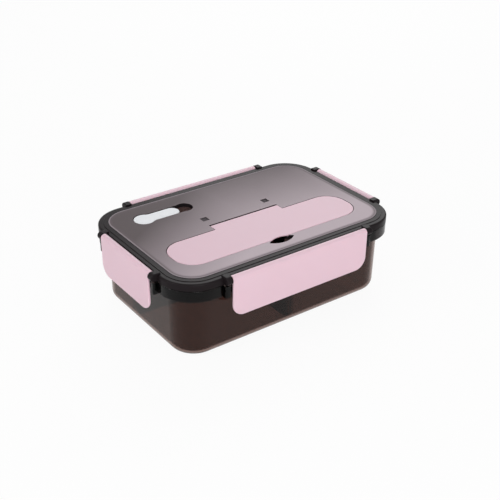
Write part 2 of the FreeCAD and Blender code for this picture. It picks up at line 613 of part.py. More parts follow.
def build_lid_ears(body):
    """Bays in the rim for the latches, and a pair of ears with blind pin holes at each."""
    bays = new_sketch(body, "bays", offset=SKIRT_BOTTOM)
    for side in SIDES:
        near, _ = latch_end_span(FRONT_LATCH)
        draw_rectangle(bays, f"-{near}", near,
                       *ordered(side, f"({RIM_Y} - Dims.bay_depth)", f"({RIM_Y} + Dims.bay_depth)"))
        near, _ = latch_end_span(SIDE_LATCH)
        draw_rectangle(bays, *ordered(side, f"({RIM_X} - Dims.bay_depth)", f"({RIM_X} + Dims.bay_depth)"),
                       f"-{near}", near)
    cut(body, "bays", bays, f"{LOW_LEDGE_TOP} - {SKIRT_BOTTOM}", upward=True)

    ear_low, ear_high = f"({PIVOT_HEIGHT} - Dims.ear_radius)", f"({PIVOT_HEIGHT} + Dims.ear_radius)"
    for name, role, length, rim, pivot in (
            ("long", "YZ_Plane", FRONT_LATCH, RIM_Y, PIVOT_Y),
            ("short", "XZ_Plane", SIDE_LATCH, RIM_X, PIVOT_X)):
        near, far = latch_end_span(length)
        root = f"({rim} - Dims.ear_root)"
        for end in SIDES:
            start = near if end > 0 else f"-{far}"
            ears = new_sketch(body, f"{name}_ears_{'right' if end > 0 else 'left'}", role, start)
            holes = new_sketch(body, f"{name}_holes_{'right' if end > 0 else 'left'}", role,
                               near if end > 0 else f"-{near}")
            for side in SIDES:
                if side > 0:
                    points = ((root, ear_low), (pivot, ear_low), (pivot, ear_high), (root, ear_high))
                    rounded = 1
                else:
                    points = ((f"-{pivot}", ear_low), (f"-{root}", ear_low),
                              (f"-{root}", ear_high), (f"-{pivot}", ear_high))
                    rounded = 3
                draw_outline(ears, points, {rounded: ("X", f"{side} * {pivot}", 1)})
                draw_circle(holes, f"{side} * {pivot}", PIVOT_HEIGHT,
                            "Dims.latch_pin + Dims.pin_gap")
            pad(body, ears.Name.replace("_sketch", ""), ears, "Dims.lug_width")
            depth = "Dims.latch_pin_reach - Dims.latch_end_gap + Dims.pin_end_gap"
            cut(body, holes.Name.replace("_sketch", ""), holes, depth, upward=end > 0)

    ear_ends = ((size(latch_end_span(FRONT_LATCH)[1]), size(PIVOT_Y)),
                (size(latch_end_span(SIDE_LATCH)[1]), size(PIVOT_X)))

    def rims_an_ear(edge):
        """Whether an edge goes round the far end of an ear, clear of the lid rim."""
        box, point = edge.BoundBox, middle_of(edge)
        ways = ((box.XLength, point.x, point.y), (box.YLength, point.y, point.x))
        for (spread, along, out), (far, pivot) in zip(ways, ear_ends):
            if spread < TOUCH and abs(abs(along) - far) < TOUCH:
                return abs(out) > pivot or at_height(edge, ear_low) or at_height(edge, ear_high)
        return False

    round_edges(body, "ear_round", "Dims.ear_round", rims_an_ear)


def build_lid_pocket(body):
    """Cutlery pocket under the platform, with the cover's seat, hinge well and finger notch."""
    middle = COVER_PLACE
    collar = new_sketch(body, "seat_wall", offset=f"{SEAT_TOP} - Dims.pocket_wall")
    draw_rounded(collar, *cover_outline("Dims.cover_gap + Dims.pocket_wall"), middle)
    pad(body, "seat_wall", collar, f"{PLATE_BOTTOM} - {SEAT_TOP} + Dims.pocket_wall + Dims.lid_plate / 2")
    tub = new_sketch(body, "tub", offset=f"{POCKET_FLOOR} - Dims.pocket_wall")
    draw_rounded(tub, *cover_outline(f"{POCKET_GROW} + Dims.pocket_wall"), middle)
    pad(body, "tub", tub, f"{SEAT_TOP} - {POCKET_FLOOR} + Dims.pocket_wall")
    round_edges(body, "tub_round", "Dims.pocket_round + Dims.pocket_wall",
                lambda edge: at_height(edge, f"{POCKET_FLOOR} - Dims.pocket_wall"))

    cheek = "(Dims.tab_length / 2 + Dims.cover_gap + Dims.hinge_cheek)"
    well_wall = new_sketch(body, "well_wall", offset=f"{WELL_FLOOR} - Dims.pocket_wall")
    draw_rectangle(well_wall, f"-{cheek}", cheek, f"{COVER_BACK} - Dims.cover_seat",
                   f"{WELL_BACK} + Dims.pocket_wall")
    pad(body, "well_wall", well_wall,
        f"{PLATE_BOTTOM} - {WELL_FLOOR} + Dims.pocket_wall + Dims.lid_plate / 2")
    notch_wall = new_sketch(body, "notch_wall", offset=f"{NOTCH_FLOOR} - Dims.pocket_wall")
    draw_lens(notch_wall, "Dims.pocket_wall")
    pad(body, "notch_wall", notch_wall,
        f"{PLATE_BOTTOM} - {NOTCH_FLOOR} + Dims.pocket_wall + Dims.lid_plate / 2")

    opening = new_sketch(body, "opening", offset=PLATFORM_TOP)
    draw_rounded(opening, *cover_outline("Dims.cover_gap"), middle)
    cut(body, "opening", opening, f"{PLATFORM_TOP} - {SEAT_TOP}")
    pocket = new_sketch(body, "pocket", offset=PLATFORM_TOP)
    draw_rounded(pocket, *cover_outline(POCKET_GROW), middle)
    cut(body, "pocket", pocket, f"{PLATFORM_TOP} - {POCKET_FLOOR}")
    inner = cover_outline(POCKET_GROW)
    round_edges(body, "pocket_round", "Dims.pocket_round",
                lambda edge: on_outline(edge, inner, POCKET_FLOOR, middle))
    well = new_sketch(body, "well", offset=PLATFORM_TOP)
    half = "(Dims.tab_length / 2 + Dims.cover_gap)"
    draw_rectangle(well, f"-{half}", half, f"{COVER_BACK} + Dims.cover_gap", WELL_BACK)
    cut(body, "well", well, f"{PLATFORM_TOP} - {WELL_FLOOR}")
    notch = new_sketch(body, "notch", offset=PLATFORM_TOP)
    draw_lens(notch, "0")
    cut(body, "notch", notch, f"{PLATFORM_TOP} - {NOTCH_FLOOR}")

    sockets = new_sketch(body, "sockets", role="YZ_Plane")
    draw_circle(sockets, HINGE_PLACE, HINGE_HEIGHT, "Dims.hinge_pin + Dims.pin_gap")
    cut(body, "sockets", sockets,
        "Dims.tab_length + 2 * (Dims.hinge_pin_reach + Dims.pin_end_gap)", symmetric=True)
    marks = new_sketch(body, "marks", offset=PLATFORM_TOP)
    for side in SIDES:
        centre = f"({side} * Dims.mark_spacing / 2)"
        draw_rectangle(marks, f"{centre} - Dims.mark_size / 2", f"{centre} + Dims.mark_size / 2",
                       f"{MARK_PLACE} - Dims.mark_size / 2", f"{MARK_PLACE} + Dims.mark_size / 2")
    cut(body, "marks", marks, "Dims.mark_depth")


def draw_lens(sketch, grow):
    """The finger notch: a lens across the cover's front edge, grown evenly."""
    half = f"(Dims.notch_length / 2 + ({grow}))"
    rise = f"(Dims.notch_half + ({grow}))"
    radius = f"(({half} ^ 2 + {rise} ^ 2) / (2 * {rise}))"
    offset = f"({radius} - {rise})"
    draw_outline(sketch, ((f"-{half}", NOTCH_PLACE), (half, NOTCH_PLACE)),
                 {0: ("Y", f"{NOTCH_PLACE} + {offset}", 1),
                  1: ("Y", f"{NOTCH_PLACE} - {offset}", 1)})


def build_lid_vent(body):
    """Recess for the vent plug, deeper at its finger end, with the vent hole in its floor."""
    head, tab, finger = VENT_HEAD, VENT_TAB, VENT_FINGER
    y = VENT_PLACE
    head_radius = "(Dims.plug_head_radius + Dims.plug_gap)"
    tab_radius = "(Dims.plug_tab_radius + Dims.plug_gap)"
    finger_radius = "Dims.vent_finger_radius"
    low = f"({VENT_FLOOR_TOP} - Dims.vent_floor)"
    finger_low = f"({VENT_FINGER_FLOOR} - Dims.vent_floor)"
    up_to = f"({PLATE_BOTTOM} + Dims.lid_plate / 2)"
    boss = new_sketch(body, "vent_boss", offset=low)
    draw_slot(boss, head, finger, y, f"({head_radius} + Dims.pocket_wall)")
    pad(body, "vent_boss", boss, f"{up_to} - {low}")
    boss = new_sketch(body, "finger_boss", offset=finger_low)
    draw_circle(boss, finger, y, f"{finger_radius} + Dims.pocket_wall")
    pad(body, "finger_boss", boss, f"{up_to} - {finger_low}")

    recess = new_sketch(body, "vent_head", offset=PLATFORM_TOP)
    draw_circle(recess, head, y, head_radius)
    cut(body, "vent_head", recess, f"{PLATFORM_TOP} - {VENT_FLOOR_TOP}")
    recess = new_sketch(body, "vent_tab", offset=PLATFORM_TOP)
    draw_slot(recess, head, finger, y, tab_radius)
    cut(body, "vent_tab", recess, f"{PLATFORM_TOP} - {VENT_FLOOR_TOP}")
    neck_x = size(head)
    neck_y = size(tab_radius)
    round_edges(body, "vent_neck", "Dims.plug_neck_round - Dims.plug_gap",
                lambda edge: is_upright(edge) and middle_of(edge).x > neck_x + TOUCH
                and middle_of(edge).x < size(tab)
                and abs(abs(middle_of(edge).y - size(y)) - neck_y) < TOUCH)
    recess = new_sketch(body, "vent_finger", offset=PLATFORM_TOP)
    draw_circle(recess, finger, y, finger_radius)
    cut(body, "vent_finger", recess, f"{PLATFORM_TOP} - {VENT_FINGER_FLOOR}")
    hole = new_sketch(body, "vent_hole", offset=VENT_FLOOR_TOP)
    draw_circle(hole, head, y, "Dims.plug_stem + Dims.stem_gap")
    cut(body, "vent_hole", hole, "2 * Dims.vent_floor")


def build_lid():
    body = new_body("lid")
    build_lid_shell(body)
    build_lid_ears(body)
    build_lid_pocket(body)
    build_lid_vent(body)
    return body


def build_seal():
    """Square seal ring that fills the lid's channel and lies on the container lip."""
    body = new_body("lid_seal")
    ring = new_sketch(body, "ring", offset=SEAL_BOTTOM)
    draw_rounded(ring, *mouth_outline("Dims.channel_out - Dims.seal_gap"))
    draw_rounded(ring, *mouth_outline("-Dims.channel_in + Dims.seal_gap"))
    pad(body, "ring", ring, "Dims.seal_height")
    round_edges(body, "round", "Dims.seal_round",
                lambda edge: at_height(edge, SEAL_BOTTOM))
    return body


def build_latch(label, span, pivot, turn):
    """Snap latch, drawn at its pivot with its outside towards -Y, then turned into place."""
    body = new_body(label)
    outside = "-Dims.latch_barrel"
    inside = "(Dims.latch_wall - Dims.latch_barrel)"
    bottom = "-Dims.latch_drop"
    shoulder = f"-sqrt(Dims.latch_barrel ^ 2 - {inside} ^ 2)"
    plate = new_sketch(body, "plate", role="YZ_Plane")
    draw_outline(plate, ((outside, bottom), (inside, bottom), (inside, shoulder), (outside, "0")),
                 {2: ("Y", "0", 1)})
    pad(body, "plate", plate, span, symmetric=True)
    round_edges(body, "corners", "Dims.latch_corner",
                lambda edge: at_height(edge, bottom) and edge.BoundBox.XLength < TOUCH)
    round_edges(body, "shoulder", "Dims.latch_shoulder",
                lambda edge: runs_along_x(edge) and abs(middle_of(edge).z - size(shoulder)) < TOUCH)
    round_edges(body, "rim", "Dims.latch_round",
                lambda edge: not runs_along_y(edge)
                and (at_height(edge, bottom) or not runs_along_x(edge)))

    bead_tip = "(Dims.bead_radius + Dims.hook_gap)"
    tip = f"(Dims.pivot_out - {bead_tip})"
    hook_top = f"({BEAD_HEIGHT} - Dims.bead_radius - Dims.hook_below - {PIVOT_HEIGHT})"
    root = f"({inside} - Dims.latch_wall / 2)"
    hook = new_sketch(body, "hook", role="YZ_Plane")
    draw_outline(hook, ((root, f"{hook_top} - Dims.hook_root"), (inside, f"{hook_top} - Dims.hook_root"),
                        (tip, f"{hook_top} - Dims.hook_tip"), (tip, hook_top), (root, hook_top)))
    pad(body, "hook", hook, f"{span} - 2 * Dims.bead_inset", symmetric=True)
    grip = new_sketch(body, "grip", role="YZ_Plane")
    edge_round = "(Dims.latch_drop - Dims.latch_round)"
    draw_outline(grip, ((root, f"-{edge_round}"), (inside, f"-{edge_round}"),
                        (f"{inside} + Dims.grip_reach", f"-{edge_round} + Dims.grip_height / 3"),
                        (f"{inside} + Dims.grip_reach", f"-{edge_round} + Dims.grip_height / 2"),
                        (inside, f"-{edge_round} + Dims.grip_height"),
                        (root, f"-{edge_round} + Dims.grip_height")))
    pad(body, "grip", grip, f"{span} - 2 * Dims.latch_corner", symmetric=True)

    count = math.floor((size(span) - 2 * size("Dims.latch_corner")) / size("Dims.rib_pitch"))
    ribs = new_sketch(body, "ribs", offset=hook_top)
    for index in range(count + 1):
        middle = f"({index - count / 2} * Dims.rib_pitch)"
        draw_rectangle(ribs, f"{middle} - Dims.rib_wall / 2", f"{middle} + Dims.rib_wall / 2",
                       root, f"{inside} + Dims.latch_wall / 2")
    pad(body, "ribs", ribs, f"Dims.latch_drop + {hook_top} - Dims.grip_height", reverse=True)

    pins = new_sketch(body, "pins", role="YZ_Plane")
    draw_circle(pins, "0", "0", "Dims.latch_pin")
    pad(body, "pins", pins, f"{span} + 2 * Dims.latch_pin_reach", symmetric=True)
    body.setExpression("Placement.Base.x", f"{pivot} * sin({turn} deg)")
    body.setExpression("Placement.Base.y", f"-{pivot} * cos({turn} deg)")
    body.setExpression("Placement.Base.z", PIVOT_HEIGHT)
    body.Placement.Rotation = Rotation(Vector(0, 0, 1), turn)
    return body


def build_cover():
    """Cutlery cover: flush plate with a locating rib, finger notch, hinge edge and pins."""
    body = new_body("cutlery_cover")
    middle = COVER_PLACE
    plate = new_sketch(body, "plate", offset=COVER_BOTTOM)
    draw_rounded(plate, *cover_outline("0"), middle)
    pad(body, "plate", plate, "Dims.cover_thickness")
    tab = new_sketch(body, "tab", offset=COVER_BOTTOM)
    half = "(Dims.tab_length / 2)"
    draw_rectangle(tab, f"-{half}", half, f"{COVER_BACK} - Dims.cover_thickness", HINGE_PLACE)
    pad(body, "tab", tab, "Dims.cover_thickness")
    outline = cover_outline("0")
    round_edges(body, "top_round", "Dims.cover_round",
                lambda edge: on_outline(edge, outline, PLATFORM_TOP, middle))
    barrel = new_sketch(body, "barrel", role="YZ_Plane")
    draw_circle(barrel, HINGE_PLACE, HINGE_HEIGHT, "Dims.hinge_barrel")
    pad(body, "barrel", barrel, "Dims.tab_length", symmetric=True)
    pins = new_sketch(body, "pins", role="YZ_Plane")
    draw_circle(pins, HINGE_PLACE, HINGE_HEIGHT, "Dims.hinge_pin")
    pad(body, "pins", pins, "Dims.tab_length + 2 * Dims.hinge_pin_reach", symmetric=True)

    rib = new_sketch(body, "rib", offset=COVER_BOTTOM)
    rib_grow = f"{POCKET_GROW} - Dims.cover_rib_gap"
    draw_rounded(rib, *cover_outline(rib_grow), middle)
    draw_rounded(rib, *cover_outline(f"{rib_grow} - Dims.cover_rib"), middle)
    pad(body, "rib", rib, "Dims.cover_rib_drop", reverse=True)
    notch = new_sketch(body, "notch", offset=PLATFORM_TOP)
    draw_lens(notch, "0")
    cut(body, "notch", notch, "Dims.cover_thickness + Dims.cover_rib_drop")
    hollow = new_sketch(body, "notch_hollow", offset=f"{COVER_BOTTOM} - Dims.cover_rib_drop")
    draw_lens(hollow, "Dims.notch_hollow")
    cut(body, "notch_hollow", hollow,
        "Dims.cover_thickness + Dims.cover_rib_drop - Dims.notch_lip", upward=True)
    return body


def build_plug():
    """Silicone vent plug: a head over the vent hole and a tab to lift it by."""
    body = new_body("vent_plug")
    head, tab, y = VENT_HEAD, VENT_TAB, VENT_PLACE
    plate = new_sketch(body, "head", offset=PLUG_BOTTOM)
    draw_circle(plate, head, y, "Dims.plug_head_radius")
    pad(body, "head", plate, "Dims.plug_plate")
    plate = new_sketch(body, "tab", offset=PLUG_BOTTOM)
    draw_slot(plate, head, tab, y, "Dims.plug_tab_radius")
    pad(body, "tab", plate, "Dims.plug_plate")
    tab_y = size("Dims.plug_tab_radius")
    round_edges(body, "neck", "Dims.plug_neck_round",
                lambda edge: is_upright(edge) and middle_of(edge).x > size(head) + TOUCH
                and middle_of(edge).x < size(tab) - TOUCH
                and abs(abs(middle_of(edge).y - size(y)) - tab_y) < TOUCH)
    top = f"{PLUG_BOTTOM} + Dims.plug_plate"
    round_edges(body, "top_round", "Dims.plug_round", lambda edge: at_height(edge, top))
    stem = new_sketch(body, "stem", offset=PLUG_BOTTOM)
    draw_circle(stem, head, y, "Dims.plug_stem")
    pad(body, "stem", stem, "Dims.plug_stem_drop", reverse=True)
    return body


def lay_in_pocket(piece, head_place, head_x):
    """Puts cutlery on the pocket floor, slightly turned, with its head's middle at a place."""
    lean = f"asin(Dims.cutlery_lean / {CUTLERY_HALF})"
    piece.setExpression("Placement.Base.y", f"{head_place} + {head_x} * sin({lean})")
    piece.setExpression("Placement.Base.z", f"{POCKET_FLOOR} + Dims.cutlery_lift")
    piece.Placement.Rotation = Rotation(Vector(0, 0, 1), -size(lean))


def build_fork():
    """Fork: a flat outline with tines, bent over a shallow arch."""
    flat = new_body("fork_outline")
    half, handle, neck = CUTLERY_HALF, "(Dims.cutlery_handle / 2)", "(Dims.cutlery_neck / 2)"
    head = f"({FORK_HEAD_WIDTH} / 2)"
    shoulder = f"({half} - Dims.fork_head_length * 0.7)"
    throat = f"({half} - Dims.fork_head_length)"
    end = f"({handle} - {half})"
    outline = new_sketch(flat, "outline")
    draw_outline(outline, ((end, f"-{handle}"), (throat, f"-{neck}"), (shoulder, f"-{head}"),
                           (half, f"-{head}"), (half, head), (shoulder, head),
                           (throat, neck), (end, handle)), {7: ("X", end, 1)})
    height = "(2 * Dims.fork_arch + 2 * Dims.cutlery_thickness)"
    pad(flat, "outline", outline, height)
    round_edges(flat, "shoulders", f"{FORK_HEAD_WIDTH} / 4",
                lambda edge: is_upright(edge) and abs(middle_of(edge).x - size(shoulder)) < TOUCH)
    round_edges(flat, "throat", f"{FORK_HEAD_WIDTH} / 3",
                lambda edge: is_upright(edge) and abs(middle_of(edge).x - size(throat)) < TOUCH)
    gaps = new_sketch(flat, "gaps", offset=height)
    tine_pitch = f"(({FORK_HEAD_WIDTH} + Dims.tine_gap) / 4)"
    for index in (-1, 0, 1):
        draw_slot(gaps, f"{half} - Dims.tine_length", f"{half} + Dims.tine_gap",
                  f"({index} * {tine_pitch})", "(Dims.tine_gap / 2)")
    cut(flat, "gaps", gaps, height)
    tip_x = size(half)
    round_edges(flat, "tips", "Dims.cutlery_thickness / 2.5",
                lambda edge: is_upright(edge) and abs(middle_of(edge).x - tip_x) < TOUCH)

    strip = new_body("fork_arch")
    bend = f"(({half} ^ 2 + Dims.fork_arch ^ 2) / (2 * Dims.fork_arch))"
    centre = f"(Dims.fork_arch - {bend})"
    wide = FORK_HEAD_WIDTH
    side = new_sketch(strip, "side", role="XZ_Plane")
    draw_outline(side, ((f"-{half}", "0"), (half, "0"), (half, "Dims.cutlery_thickness"),
                        (f"-{half}", "Dims.cutlery_thickness")),
                 {0: ("Y", centre, -1), 2: ("Y", f"{centre} + Dims.cutlery_thickness", 1)})
    pad(strip, "side", side, f"2 * {wide}", symmetric=True)
    fork = doc.addObject("Part::Common", "fork")
    fork.Base = flat
    fork.Tool = strip
    pocket_back = f"({COVER_PLACE} + {POCKET_WIDTH} / 2)"
    lay_in_pocket(fork, f"({pocket_back} - Dims.fork_back_gap - {head})",
                  f"({half} - Dims.fork_head_length / 2)")
    return fork


def build_spoon():
    """Spoon: an oval dish on a handle that slopes down to the pocket floor."""
    half, handle, neck = CUTLERY_HALF, "(Dims.cutlery_handle / 2)", "(Dims.cutlery_neck / 2)"
    bowl_half = "(Dims.spoon_bowl_length / 2)"
    bowl_x = f"({bowl_half} - {half})"
    end = f"({half} - {handle})"
    flat = new_body("spoon_outline")
    outline = new_sketch(flat, "outline")
    draw_outline(outline, ((bowl_x, f"-{neck}"), (end, f"-{handle}"), (end, handle), (bowl_x, neck)),
                 {1: ("X", end, 1)})
    pad(flat, "outline", outline, "Dims.spoon_bowl_depth + Dims.cutlery_thickness")
    strip = new_body("spoon_slope")
    side = new_sketch(strip, "side", role="XZ_Plane")
    depth = "Dims.spoon_bowl_depth"
    draw_outline(side, ((bowl_x, f"{depth} - Dims.cutlery_thickness"), (half, "0"),
                        (half, "Dims.cutlery_thickness"), (f"{bowl_x} + {bowl_half}", depth),
                        (bowl_x, depth)))
    pad(strip, "side", side, "2 * Dims.cutlery_handle", symmetric=True)
    stick = doc.addObject("Part::Common", "spoon_handle")
    stick.Base = flat
    stick.Tool = strip

    plan = doc.addObject("Part::Ellipse", "spoon_bowl_plan")
    plan.setExpression("MajorRadius", bowl_half)
    plan.setExpression("MinorRadius", f"{SPOON_BOWL_WIDTH} / 2")
    plan.setExpression("Placement.Base.x", bowl_x)
    column = doc.addObject("Part::Extrusion", "spoon_bowl_column")
    column.Base = plan
    column.Dir = Vector(0, 0, 1)
    column.setExpression("LengthFwd", "Dims.spoon_bowl_depth + Dims.cutlery_thickness")
    column.Solid = True
    dish_radius = f"(({bowl_half} ^ 2 + {depth} ^ 2) / (2 * {depth}))"
    spheres = []
    for name, shrink in (("spoon_dish_outside", "0"), ("spoon_dish_inside", "Dims.cutlery_thickness")):
        sphere = doc.addObject("Part::Sphere", name)
        sphere.setExpression("Radius", f"{dish_radius} - {shrink}")
        sphere.setExpression("Placement.Base.x", bowl_x)
        sphere.setExpression("Placement.Base.z", dish_radius)
        spheres.append(sphere)
    bowl = doc.addObject("Part::Common", "spoon_bowl")
    bowl.Base = column
    bowl.Tool = spheres[0]
    blank = doc.addObject("Part::Fuse", "spoon_blank")
    blank.Base = bowl
    blank.Tool = stick
    spoon = doc.addObject("Part::Cut", "spoon")
    spoon.Base = blank
    spoon.Tool = spheres[1]
    pocket_front = f"({COVER_PLACE} - {POCKET_WIDTH} / 2)"
    lay_in_pocket(spoon, f"({pocket_front} + Dims.spoon_front_gap + {SPOON_BOWL_WIDTH} / 2)", bowl_x)
    return spoon


SUB_PARTS = (
    build_container(),
    build_divider(),
    build_lid(),
    build_seal(),
    build_latch("front_latch", FRONT_LATCH, PIVOT_Y, 0),
    build_latch("right_latch", SIDE_LATCH, PIVOT_X, 90),
    build_latch("back_latch", FRONT_LATCH, PIVOT_Y, 180),
    build_latch("left_latch", SIDE_LATCH, PIVOT_X, 270),
    build_cover(),
    build_plug(),
    build_fork(),
    build_spoon(),
)
doc.recompute()

for item in doc.Objects:
    if {"Invalid", "Error"} & set(item.State):
        raise RuntimeError(f"{item.Name} failed: {item.State}")
for part in SUB_PARTS:
    if part.Shape.isNull() or not part.Shape.isValid() or len(part.Shape.Solids) != 1:
        raise RuntimeError(f"{part.Label} is not one valid solid")

os.makedirs("parts", exist_ok=True)
for part in SUB_PARTS:
    part.Shape.exportStep(f"parts/{part.Label}.step")
    box = part.Shape.BoundBox
    print(f"{part.Label}: {part.Shape.Volume / 1000:.1f} cm3, "
          f"{box.XLength:.1f} x {box.YLength:.1f} x {box.ZLength:.1f} mm")
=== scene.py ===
# %% [markdown]
# # A bento lunch box with a cutlery lid
# The CAD model fixes every shape and joint. This lesson gives it its looks: a smoke-tinted tub and
# lid, pink snap latches, a pink cutlery cover and a pale silicone vent plug, lit as in a studio.

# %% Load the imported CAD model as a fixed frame
import bpy
import math
from mathutils import Matrix, Vector


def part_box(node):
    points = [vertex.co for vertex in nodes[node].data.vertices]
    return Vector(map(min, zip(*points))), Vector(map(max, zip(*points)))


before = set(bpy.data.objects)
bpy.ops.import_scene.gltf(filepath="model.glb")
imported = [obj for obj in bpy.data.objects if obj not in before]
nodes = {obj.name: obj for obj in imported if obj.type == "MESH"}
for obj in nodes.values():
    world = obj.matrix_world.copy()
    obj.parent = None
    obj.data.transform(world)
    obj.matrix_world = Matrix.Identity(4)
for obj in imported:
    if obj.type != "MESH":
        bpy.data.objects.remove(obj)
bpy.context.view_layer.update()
scene = bpy.context.scene
MM = 1000.0  # millimetres to the metre

# %% [markdown]
# ## Camera
# A product shot is taken with a longish lens from a little way off, so that upright edges stay nearly
# upright. The angle and the framing below were fitted to the rim, latch and floor edges of the photo.

# %% Camera
AZIMUTH = math.radians(-35.9)
ELEVATION = math.radians(29.42)
ROLL = math.radians(0.45)
DISTANCE = 0.7495
AIM = Vector((0, 0, 0.02925))
camera_data = bpy.data.cameras.new("camera")
camera_data.lens = 65.13
camera_data.sensor_width = 36.0
camera_data.shift_x = 0.0125
camera_data.shift_y = 0.0156
camera_data.clip_start = 0.01
camera = bpy.data.objects.new("camera", camera_data)
scene.collection.objects.link(camera)
towards = Vector((math.cos(ELEVATION) * math.sin(AZIMUTH),
                  -math.cos(ELEVATION) * math.cos(AZIMUTH), math.sin(ELEVATION)))
camera.location = AIM + DISTANCE * towards
look = (-towards).to_track_quat("-Z", "Y").to_matrix().to_4x4()
camera.rotation_euler = (look @ Matrix.Rotation(ROLL, 4, "Z")).to_euler()
scene.camera = camera
print("camera at", [round(v, 3) for v in camera.location])

# %% [markdown]
# ## A small kit for materials
# Colours are written as sRGB hex values, as a colour picker shows them, and one function turns them
# into the linear values that the shader works with. A second function adds a node with its settings
# and links, so that each material below reads as a short list. Every pattern takes its place from the
# piece itself, so that it moves with the piece.

# %% Colour and node helpers


def linear(hex_colour):
    """sRGB hex to linear RGBA."""
    channels = [int(hex_colour[i:i + 2], 16) / 255 for i in (1, 3, 5)]
    return [c / 12.92 if c <= 0.04045 else ((c + 0.055) / 1.055) ** 2.4 for c in channels] + [1.0]


def add(tree, kind, settings=None, **links):
    """A node with its settings; each input takes a socket or a plain value."""
    node = tree.nodes.new(kind)
    for key, value in (settings or {}).items():
        setattr(node, key, value)
    for key, value in links.items():
        name = key.replace("_", " ")
        socket = node.inputs[int(key[1:])] if key[1:].isdigit() else node.inputs[name]
        if isinstance(value, bpy.types.NodeSocket):
            tree.links.new(value, socket)
        else:
            socket.default_value = value
    return node


def new_material(name):
    """An empty material with its output and its Principled shader."""
    material = bpy.data.materials.new(name)
    material.use_nodes = True
    tree = material.node_tree
    tree.nodes.clear()
    shader = tree.nodes.new("ShaderNodeBsdfPrincipled")
    output = tree.nodes.new("ShaderNodeOutputMaterial")
    tree.links.new(shader.outputs["BSDF"], output.inputs["Surface"])
    return material, tree, shader


print("helpers:", linear.__name__, add.__name__, new_material.__name__)

# %% [markdown]
# ## Smoke-tinted plastic
# The tub, the divider and the cutlery are taken to be clear SAN plastic with a brown-black dye, moulded
# in a polished tool. To the eye that gives sharp reflections over a deep brown: one 2 mm wall looks
# brown, two look nearly black, and the collar with its flange is darker still, because light crosses
# more plastic there. A faint, wide waviness stands for the flow of the melt and breaks up the
# reflections.
#
# The tint could also be a volume that absorbs light. A dyed surface is quicker, gives the same brown in
# walls of even thickness, and lasts when the model is exported. SAN has an IOR of about 1.57. This
# studio is white all round, and a polished wall in it mirrors far more white than the box in the photo
# does, so the IOR and the specular level are set lower.

# %% Smoke-tinted SAN, lightly dyed for the tub and deeply for what lies inside
COLLAR_BOTTOM = 0.0527
COLLAR_FADE = 0.0004
FLOW_WIDTH = 45


def smoke_plastic(name, wall_hex, thick_hex):
    """Polished, dyed plastic that is darker from the collar up."""
    material, tree, shader = new_material(name)
    place = add(tree, "ShaderNodeTexCoord")
    split = add(tree, "ShaderNodeSeparateXYZ", Vector=place.outputs["Object"])
    collar = add(tree, "ShaderNodeMapRange", Value=split.outputs["Z"],
                 From_Min=COLLAR_BOTTOM - COLLAR_FADE, From_Max=COLLAR_BOTTOM + COLLAR_FADE)
    dye = add(tree, "ShaderNodeMix", {"data_type": "RGBA"}, Factor=collar.outputs["Result"],
              A=linear(wall_hex), B=linear(thick_hex))
    tree.links.new(dye.outputs["Result"], shader.inputs["Base Color"])
    flow = add(tree, "ShaderNodeTexNoise", Vector=place.outputs["Object"],
               Scale=MM / FLOW_WIDTH, Detail=1.0)
    wavy = add(tree, "ShaderNodeBump", Height=flow.outputs["Fac"], Strength=0.03, Distance=0.001)
    tree.links.new(wavy.outputs["Normal"], shader.inputs["Normal"])
    polish = add(tree, "ShaderNodeMapRange", Value=flow.outputs["Fac"], To_Min=0.03, To_Max=0.06)
    tree.links.new(polish.outputs["Result"], shader.inputs["Roughness"])
    shader.inputs["Specular IOR Level"].default_value = 0.12
    shader.inputs["IOR"].default_value = 1.25
    shader.inputs["Transmission Weight"].default_value = 1.0
    print(name)
    return material


smoke = smoke_plastic("smoke_tinted_san_polished", "#766059", "#282424")
deep_smoke = smoke_plastic("smoke_tinted_san_deep", "#2E2424", "#2E2424")

# %% [markdown]
# ## Lid plastic: where it is frosted
# The lid is the same plastic, but its flat top is frosted in the mould, so it scatters light and looks
# grey-brown, while the rim stays polished and nearly black. The frosting could be painted on by hand,
# but the lid's shape already says where it lies: at the platform's height and inside its rounded
# outline. A few maths nodes turn the place on the lid into that mask.

# %% A mask for the frosted platform
PLATFORM_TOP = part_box("cutlery_cover")[1][2]
PLATFORM_HALF = {"X": 0.0975, "Y": 0.06325}
PLATFORM_CORNER = 0.0205
FROST_END = 0.00025
FROST_FULL = 0.00005
lid_plastic, tree, shader = new_material("smoke_tinted_san_frosted_top")
place = add(tree, "ShaderNodeTexCoord")
split = add(tree, "ShaderNodeSeparateXYZ", Vector=place.outputs["Object"])
beyond = add(tree, "ShaderNodeCombineXYZ")
for axis, half in PLATFORM_HALF.items():
    span = add(tree, "ShaderNodeMath", {"operation": "ABSOLUTE"}, _0=split.outputs[axis])
    past = add(tree, "ShaderNodeMath", {"operation": "SUBTRACT"},
               _0=span.outputs["Value"], _1=half - PLATFORM_CORNER)
    past = add(tree, "ShaderNodeMath", {"operation": "MAXIMUM"}, _0=past.outputs["Value"], _1=0.0)
    tree.links.new(past.outputs["Value"], beyond.inputs[axis])
reach = add(tree, "ShaderNodeVectorMath", {"operation": "LENGTH"}, Vector=beyond.outputs["Vector"])
inside = add(tree, "ShaderNodeMath", {"operation": "LESS_THAN"},
             _0=reach.outputs["Value"], _1=PLATFORM_CORNER)
frost = add(tree, "ShaderNodeMapRange", Value=split.outputs["Z"],
            From_Min=PLATFORM_TOP - FROST_END, From_Max=PLATFORM_TOP - FROST_FULL)
mask = add(tree, "ShaderNodeMath", {"operation": "MULTIPLY"},
           _0=frost.outputs["Result"], _1=inside.outputs["Value"])
print(lid_plastic.name, "frosted at", round(PLATFORM_TOP * MM, 2), "mm")

